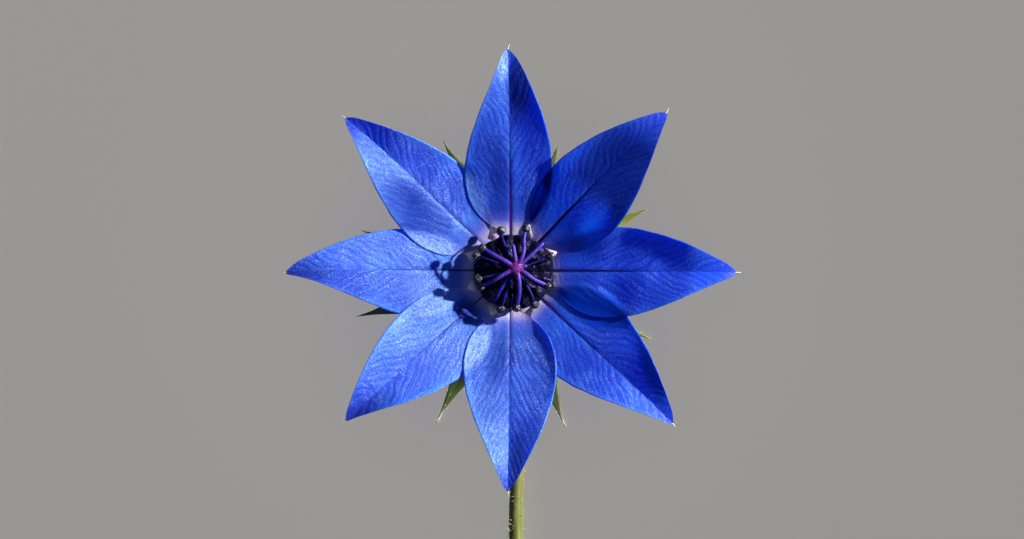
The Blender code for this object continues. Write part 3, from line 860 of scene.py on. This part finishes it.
# Corners of each arm, in mm sideways and up from the middle of the disc's top, then its
# half-width at both ends, and True where an anther sits at its end
hub = stamenLook["hub"]
armRoutes = (
    ((hub, (-0.75, 0.83, 0.74), (-1.45, 1.22, 0.66), (-2.1, 1.62, 0.48)), 0.17, 0.13, True),
    ((hub, (0.1, 1, 0.78), (0, 1.6, 0.66), (-0.05, 1.92, 0.6)), 0.15, 0.12, False),
    ((hub, (0.55, 0.95, 0.78), (0.72, 1.6, 0.7), (0.7, 2.1, 0.5), (0.83, 2.92, 0.3)),
     0.16, 0.08, True),
    (((0.17, 0.27, 0.46), (0.9, 0.9, 0.5), (1.55, 1.5, 0.42), (2.06, 2, 0.25)), 0.13, 0.13, False),
    ((hub, (0.6, 0.36, 0.72), (0.92, 0.42, 0.7)), 0.14, 0.1, False),
    ((hub, (0.75, -0.05, 0.76), (1.35, -0.48, 0.66), (2.3, -0.93, 0.3)), 0.15, 0.13, True),
    ((hub, (0.35, -0.5, 0.76), (0.38, -1.2, 0.6), (0.18, -2.4, -0.12)), 0.15, 0.16, True),
    ((hub, (-0.6, -0.12, 0.74), (-1.3, -0.55, 0.62), (-2.2, -0.98, -0.2)), 0.15, 0.12, True),
)
lowArmRoutes = (
    (((0, 0, 0.4), (-0.5, -0.65, 0.4), (-0.95, -1.3, 0.34), (-1.36, -2.05, -0.1)),
     0.1, 0.16, False),
    (((0.3, 0, 0.36), (0.75, -0.7, 0.34), (1.15, -1.4, 0.26), (1.42, -2.2, 0)), 0.08, 0.09, True),
    (((0, 0.5, 0.36), (-0.35, 1.3, 0.34), (-0.7, 2.1, 0.28), (-0.83, 2.8, -0.65)), 0.09, 0.1, True),
    (((0.5, 0.2, 0.36), (1.2, 0.55, 0.32), (1.9, 0.82, 0.28), (2.53, 1.07, 0.2)), 0.07, 0.07, True),
    (((-0.1, 0.3, 0.36), (-1.1, 0.62, 0.34), (-1.9, 0.9, 0.2), (-2.5, 1.1, -0.35)),
     0.07, 0.07, True),
    (((0, 0, 0.36), (-0.3, -0.9, 0.36), (-0.64, -1.86, 0.26), (-0.85, -2.47, -0.25)),
     0.07, 0.09, True),
    (((0, 0.1, 0.36), (-0.9, -0.1, 0.34), (-1.7, -0.3, 0.3), (-2.42, -0.44, 0.26)),
     0.07, 0.07, True),
)


def makeArmFinish():
    look = stamenLook
    finish = Finish("stamen_violet", look["magenta"])
    x, y, _ = finish.spot()
    sideX = finish.math("SUBTRACT", x, stamenX + hub[0] * mm)
    sideY = finish.math("SUBTRACT", y, stamenY + hub[1] * mm)
    distance = finish.distance(sideX, sideY)
    finish.tint(finish.between(distance, 0.3 * mm, 0.8 * mm), look["violet"])
    finish.tint(finish.between(distance, 1.2 * mm, 2.6 * mm), look["blueViolet"])
    finish.tint(finish.blotches(0.16 * mm, 0.55, 0.8, 0.0, 0.35), look["lilacGrain"])
    normal = finish.bump((finish.noise(0.12 * mm), 0.02 * mm, 0.5))
    finish.paint(0.5, normal, Specular_IOR_Level=0.3)
    return finish.material


def makeShadedArmFinish():
    look = stamenLook
    # the lower arms' violet painted as it looks in shade
    finish = Finish("stamen_shaded_blue", look["shadedArmBlue"])
    finish.tint(finish.blotches(0.3 * mm, 0.4, 0.7), look["deepBlue"])
    finish.paint(0.55, Specular_IOR_Level=0.12)
    return finish.material


def makeAntherFinish():
    look = stamenLook
    finish = Finish("anther_black_pollen_and_highlights", look["antherBlack"])
    # pale specks: pollen, and painted highlights on the bumps
    pollenAndHighlights = finish.blotches(0.1 * mm, 0.56, 0.66, detail=4.0, roughness=0.7)
    finish.tint(pollenAndHighlights, look["antherPollenAndHighlight"])
    finish.paint(0.4, finish.bump((finish.cells(0.09 * mm), 0.03 * mm, 0.8)))
    return finish.material


def makeStamens():
    look = stamenLook
    base = np.array((stamenX, stamenY, discTop))
    arms, lowArms, anthers = Pile(), Pile(), Pile()
    dice = random.Random(7)
    shares = np.linspace(0, 1, 30)
    for pile, routes in ((arms, armRoutes), (lowArms, lowArmRoutes)):
        for corners, startWidth, endWidth, bearsAnther in routes:
            route = curvePoints(corners, len(shares))
            uneven = 1 + 0.05 * np.sin(shares * 17 + startWidth * 90)
            radii = mix(startWidth, endWidth, shares) * uneven
            if not bearsAnther:
                radii[-3:] *= (0.85, 0.6, 0.25)
            pile.add(*tube(base + route * mm, radii * mm, 12, flatten=0.72))
            if bearsAnther:
                radius = look["antherRadius"] * mm * dice.uniform(0.92, 1.1)
                addAnther(anthers, base + route[-1] * mm, radius, dice)
    addHub(arms, base)
    for name, pile, material in (
        ("stamen_arms", arms, makeArmFinish()),
        ("stamen_arms_low", lowArms, makeShadedArmFinish()),
        ("anthers", anthers, makeAntherFinish()),
    ):
        piece = meshPiece(name, pile.points, pile.faces, material)
        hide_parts("stamens")
        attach(piece, "root")
    print("stamens made:", len(armRoutes + lowArmRoutes), "arms")


def ball(rows, sides):  # unit ball as points and faces
    turns = np.linspace(0, fullTurn, sides, endpoint=False)
    rings = []
    for tilt in np.linspace(0, math.pi, rows + 1)[1:-1]:
        x, y = math.sin(tilt) * np.cos(turns), math.sin(tilt) * np.sin(turns)
        rings.append(np.stack([x, y, np.full(sides, math.cos(tilt))], axis=1))
    points, faces = closedRings(rings, ((0, 0, 1), (0, 0, -1)))
    return points, flipped(faces)


def addAnther(pile, centre, radius, dice):
    points, faces = ball(14, 20)
    shiftA, shiftB = dice.uniform(0, 6), dice.uniform(0, 6)
    x, y, z = points.T
    knobs = 0.09 * np.sin(x * 5 + shiftA) * np.sin(y * 6 + shiftB)
    knobs += 0.06 * np.sin(z * 8 + shiftA) * np.cos(x * 7 + shiftB)
    pile.add(centre + points * radius * (1 + knobs)[:, None] * (1, 1, 0.9), faces)


def addHub(pile, base):
    points, faces = ball(16, 32)
    x, y, z = points.T
    reach = stamenLook["hubRadius"] * (1 + 0.12 * np.sin(np.arctan2(y, x) * 7 + 0.6))
    centre = np.array(hub) - (0, 0, 0.04)
    pile.add(base + (centre + np.stack([x * reach, y * reach, z * 0.26], axis=1)) * mm, faces)


# Calyx and stem

calyxLook = {
    "places": (  # direction in degrees and reach of each sepal
        (25.1, 10.3), (69.9, 9.35), (117.1, 10.1), (164.4, 10.7),
        (196.5, 11.2), (244.4, 11.7), (289.6, 11.4), (334.2, 10.8),
    ),
    "start": 0.8,
    "height": 3.35,
    "landing": 0.14,
    "landed": 8.6,  # from here outward a sepal lies level
    "rows": 70,
    "columns": 13,
    "thickness": 0.22,
    "rootHalfWidth": 0.3,
    "halfWidth": 1.3,
    "tipHalfWidth": 0.035,
    "receptacle": (  # radius and height
        (0.02, 3.75), (1.35, 3.75), (1.6, 3.55), (1.58, 2.95),
        (1.3, 2.72), (1, 2.5), (0.6, 2.2), (0.02, 2.15),
    ),
    "steps": 48,
    "green": (0.026, 0.038, 0.006),
    "lightGreen": (0.075, 0.095, 0.012),
    "paintedSunGreen": (0.2, 0.23, 0.02),  # painted sunlight on the sepals at the side of the light
    "throughGreen": (0.22, 0.34, 0.03),
    "tipCream": (0.62, 0.5, 0.36),
}


def sepalShape(reach, seed):
    look = calyxLook
    x = np.linspace(look["start"], reach, look["rows"])[:, None]
    v = np.linspace(-1, 1, look["columns"])[None, :]
    root = mix(look["rootHalfWidth"], look["halfWidth"], smoothStep(look["start"], 3.4, x))
    y = v * mix(look["tipHalfWidth"], root, 1 - smoothStep(4.2, reach + 0.2, x))
    outer = smoothStep(6, look["landed"], x)
    keel = 0.3 * np.abs(y) * (1 - outer) + 0.12 * np.abs(y) * outer
    z = mix(look["height"], look["landing"], smoothStep(look["start"], look["landed"], x))
    z = z + keel + 0.03 * ripple(x, y, seed, 2.4) * smoothStep(2, 4, x)
    sway = 0.12 * np.sin(x * 0.5 + seed) * smoothStep(3, 8, x)
    top = np.stack([x + 0 * y, y + sway, z], axis=2) * mm
    half = (look["thickness"] * (1 - 0.5 * np.abs(v) ** 4) * 0.5 * mm)[..., None]
    offset = upwardNormals(top) * half
    return top + offset, top - offset


def turned(points, degrees):
    turn = math.radians(degrees)
    spin = ((math.cos(turn), -math.sin(turn), 0), (math.sin(turn), math.cos(turn), 0), (0, 0, 1))
    return points @ np.array(spin).T


def receptacle():
    look = calyxLook
    steps, profile = look["steps"], look["receptacle"]
    angles = np.linspace(0, fullTurn, steps, endpoint=False)
    lobed = 1 + 0.03 * np.cos(8 * angles)
    x, y = lobed * np.cos(angles), lobed * np.sin(angles)
    rings = [
        np.stack([radius * x, radius * y, np.full(steps, height)], axis=1)
        for radius, height in profile
    ]
    points, faces = closedRings(rings, ((0, 0, profile[0][1]), (0, 0, profile[-1][1])))
    return points * mm, flipped(faces)


def makeSepalFinish():
    look = calyxLook
    finish = Finish("sepal_green", look["green"])
    x, y, _ = finish.spot()
    finish.tint(finish.blotches(1.2 * mm, 0.35, 0.7), look["lightGreen"])
    # painted sunlight, growing towards +X, the side of the light
    finish.tint(finish.between(x, 2 * mm, 8 * mm, 0.0, 0.7), look["paintedSunGreen"])
    fade = finish.between(finish.distance(x, y), 10.2 * mm, 11.6 * mm, 0.0, 0.85)
    finish.tint(fade, look["tipCream"])
    normal = finish.bump((finish.noise(0.12 * mm), 0.03 * mm, 0.5))
    finish.paint(0.5, normal, Specular_IOR_Level=0.4)
    finish.letThrough(0.2, look["throughGreen"], normal)
    return finish.material


def makeCalyx():
    calyx = Pile()
    for seed, (degrees, reach) in enumerate(calyxLook["places"]):
        points, faces = shell(*sepalShape(reach, seed))
        calyx.add(turned(points, degrees), faces)
    calyx.add(*receptacle())
    piece = meshPiece("calyx", calyx.points, calyx.faces, makeSepalFinish())
    piece.location = (flowerX, flowerY, 0)
    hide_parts("calyx_and_stem")
    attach(piece, "root")
    print("calyx made")


stemLook = {
    "radius": 0.5,
    "route": (  # mm from the flower's axis, and up from the surface
        (0, 0, 3.2), (0, -0.12, 2.2), (0.03, -1, 1.05), (0.1, -2.8, 0.56),
        (0.25, -6.5, 0.5), (0.4, -11.5, 0.5), (0.33, -16, 0.5), (0.3, -20.6, 0.5),
    ),
    "rings": 150,
    "sides": 28,
    "olive": (0.1, 0.104, 0.01),
    "paleGreen": (0.165, 0.17, 0.034),
}


def makeStem():
    look = stemLook
    base = np.array((flowerX, flowerY, 0.0))
    route = curvePoints(look["route"], look["rings"])
    shares = np.linspace(0, 1, len(route))
    radii = look["radius"] * (1 + 0.02 * np.sin(shares * 40)) * mix(1.0, 0.97, shares)
    points, faces = tube(base + route * mm, radii * mm, look["sides"], ribs=5, ribDepth=0.025)
    finish = Finish("stem_olive", look["olive"])
    drawnOut = finish.node("Mapping", {"Vector": finish.vector, "Scale": (1.0, 0.12, 1.0)})
    streaks = finish.noise(0.35 * mm, vector=drawnOut.outputs["Vector"])
    finish.tint(finish.between(streaks, 0.35, 0.7), look["paleGreen"])
    normal = finish.bump((streaks, 0.05 * mm, 0.5), (finish.noise(0.08 * mm, 2.0), 0.01 * mm, 0.4))
    finish.paint(0.48, normal, Specular_IOR_Level=0.4)
    piece = meshPiece("stem", points, faces, finish.material, sharpAngle=60)
    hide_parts("calyx_and_stem")
    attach(piece, "root")
    print("stem made")
    makeBristles(base, route, radii)


# Bristles on the stem and the sepals

bristleLook = {
    "onStem": 260,
    "onEachSepal": 26,
    "marginShare": 0.75,  # of the sepal bristles, how many stand on a margin
    "stemRadius": 0.017,
    "sepalRadius": 0.014,
    "droop": 0.12,
    "pale": (0.62, 0.6, 0.45),
    "green": (0.45, 0.46, 0.3),
}


def addHair(pile, root, direction, length, radius):
    direction = direction / np.linalg.norm(direction)
    steps = np.linspace(0, 1, 4)
    droop = np.array((0, 0, -bristleLook["droop"]))
    route = [root + (direction * t + droop * t * t) * length for t in steps]
    radii = [radius * (1 - t * 0.92) for t in steps]
    pile.add(*tube(route, radii, 4))


def addStemBristles(hairs, base, route, radii, dice):
    look = bristleLook
    tangents = np.gradient(route, axis=0)
    for _ in range(look["onStem"]):
        index = dice.randrange(6, len(route) - 2)
        tangent = tangents[index] / np.linalg.norm(tangents[index])
        angle = dice.uniform(-0.15, math.pi + 0.15)  # none on the side that lies down
        side = np.cross(tangent, (0, 0, 1.0))
        side = side / max(np.linalg.norm(side), 1e-6)
        outward = side * math.cos(angle) + np.cross(side, tangent) * math.sin(angle)
        root = route[index] + outward * radii[index] * 0.97
        length = dice.uniform(0.15, 0.36)
        lean = tangent * dice.uniform(-0.6, 0.2)
        addHair(hairs, base + root * mm, outward + lean, length * mm, look["stemRadius"] * mm)


def addSepalBristles(hairs, base, dice):
    look = bristleLook
    for seed, (degrees, reach) in enumerate(calyxLook["places"]):
        top, _ = sepalShape(reach, seed)
        rows, columns = top.shape[:2]
        for _ in range(look["onEachSepal"]):
            row = dice.randrange(int(rows * 0.3), rows - 1)
            margin = dice.random() < look["marginShare"]
            column = dice.choice((0, columns - 1)) if margin else dice.randrange(2, columns - 2)
            sideways = (1.0 if margin else 0.2) * (-1.0 if column < columns / 2 else 1.0)
            direction = turned(np.array((0.7, sideways, dice.uniform(0.1, 0.7))), degrees)
            root = base + turned(top[row, column], degrees)
            length = dice.uniform(0.12, 0.28)
            addHair(hairs, root, direction, length * mm, look["sepalRadius"] * mm)


def makeBristles(base, route, radii):
    look = bristleLook
    dice = random.Random(21)
    hairs = Pile()
    addStemBristles(hairs, base, route, radii, dice)
    addSepalBristles(hairs, base, dice)
    finish = Finish("bristle_pale", look["pale"])
    finish.tint(finish.noise(0.5 * mm, 2.0), look["green"])
    finish.paint(0.45)
    piece = meshPiece("bristles", hairs.points, hairs.faces, finish.material)
    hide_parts("calyx_and_stem")
    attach(piece, "root")
    print("bristles made:", len(hairs.faces), "faces")


# Studio: a plain pale floor, the sun low at the right, soft light from above and below

studioLook = {
    "floorSize": 1.6,
    "nearPaintedLightColour": (0.315, 0.3, 0.262),  # painted light: warmer and a little brighter under the flower, against its shade and the blue light from the petals
    "floorColour": (0.298, 0.291, 0.279),
    "nearReach": (8, 32),  # mm from the flower, over which the painted light fades
    "sunDirection": (20.0, 24.0),  # degrees round from +X and up
    "sunDistance": 0.4,
    "sun": (0.014, 5.4, (1, 1, 1)),  # size in metres, power and colour
    "lights": {  # place in metres from the flower, then the same
        "fill": ((-0.1, 0.12, 0.5), 0.5, 0.52, (0.2, 0.42, 1.0)),
        "under": ((0, 0, -0.25), 0.2, 1.2, (0.8, 0.88, 1.0)),
        "backdrop": ((0.05, 0.05, 0.5), 0.7, 0.8, (1, 1, 1)),
        "backdrop_open": ((-0.05, 0.05, 0.5), 0.7, 3.4, (1, 1, 1)),
    },
    "worldColour": (0.95, 0.97, 1.0, 1.0),
    "worldStrength": 0.05,
}


def areaLight(name, place, target, size, power, colour):
    data = bpy.data.lights.new(name, "AREA")
    data.shape = "SQUARE"
    data.size = size
    data.energy = power
    data.color = colour
    lamp = bpy.data.objects.new(name, data)
    lamp.location = place
    lamp.rotation_euler = (target - place).to_track_quat("-Z", "Y").to_euler()
    studio.objects.link(lamp)
    return lamp


def makeFloor():
    look = studioLook
    half = look["floorSize"] / 2
    mesh = bpy.data.meshes.new("floor")
    corners = [(-half, -half, 0), (half, -half, 0), (half, half, 0), (-half, half, 0)]
    mesh.from_pydata(corners, [], [(0, 1, 2, 3)])
    floor = bpy.data.objects.new("floor", mesh)
    studio.objects.link(floor)
    finish = Finish("floor_pale", look["nearPaintedLightColour"])
    x, y, _ = finish.spot()
    away = finish.distance(finish.math("SUBTRACT", x, flowerX), finish.math("SUBTRACT", y, flowerY))
    near, far = look["nearReach"]
    finish.tint(finish.between(away, near * mm, far * mm), look["floorColour"])
    finish.paint(0.8, Specular_IOR_Level=0.1)
    mesh.materials.append(finish.material)
    return floor


def makeStudio():
    look = studioLook
    floor = makeFloor()
    middle = Vector((flowerX, flowerY, 6 * mm))
    turn, lift = [math.radians(angle) for angle in look["sunDirection"]]
    level = math.cos(lift)
    towards = Vector((level * math.cos(turn), level * math.sin(turn), math.sin(lift)))
    lamps = {"key": areaLight("key", middle + towards * look["sunDistance"], middle, *look["sun"])}
    for name, (place, *light) in look["lights"].items():
        lamps[name] = areaLight(name, middle + Vector(place), middle, *light)
    floorOnly = bpy.data.collections.new("lit_by_backdrop")
    floorOnly.objects.link(floor)
    for name, lit, shading in (
        ("key", flower, flower), ("fill", flower, flower), ("under", flower, flower),
        ("backdrop", floorOnly, None), ("backdrop_open", floorOnly, floorOnly),
    ):
        linking = lamps[name].light_linking
        linking.receiver_collection = lit
        if shading is not None:
            linking.blocker_collection = shading
    world = bpy.data.worlds.new("studio_world")
    world.use_nodes = True
    sky = world.node_tree.nodes["Background"]
    sky.inputs["Color"].default_value = look["worldColour"]
    sky.inputs["Strength"].default_value = look["worldStrength"]
    bpy.context.scene.world = world
    bpy.context.scene.view_settings.view_transform = "Standard"
    print("studio made")


cameraLook = {
    "lens": 120.0,
    "sensorWidth": 36.0,
    "photoWidthPixels": 1024,
    "petalSpanPixels": 451.0,  # tip to tip in the photograph
    "flowerOffsetPixels": (-1.0, -1.5),  # where the petals meet, from the photograph's middle
    "tipHeight": 3.0,  # mm above the throat, where the span is measured
}


def makeCamera():
    look = cameraLook
    data = bpy.data.cameras.new("camera")
    data.lens = look["lens"]
    data.sensor_width = look["sensorWidth"]
    data.clip_start = 0.01
    data.clip_end = 10
    petals = petalLook["petals"]
    pixel = (petals[0]["reach"] + petals[4]["reach"]) * mm / look["petalSpanPixels"]
    distance = pixel * look["photoWidthPixels"] * data.lens / data.sensor_width
    height = throatHeight + look["tipHeight"] * mm + distance
    offsetX, offsetY = look["flowerOffsetPixels"]
    camera = bpy.data.objects.new("camera", data)
    camera.location = (flowerX - offsetX * pixel, flowerY - offsetY * pixel, height)
    studio.objects.link(camera)
    bpy.context.scene.camera = camera
    print("camera made")


makePetals()
makePetalTips()
makeThroat()
makeDisc()
makeStamens()
makeCalyx()
makeStem()
makeStudio()
makeCamera()


print("all pieces made")
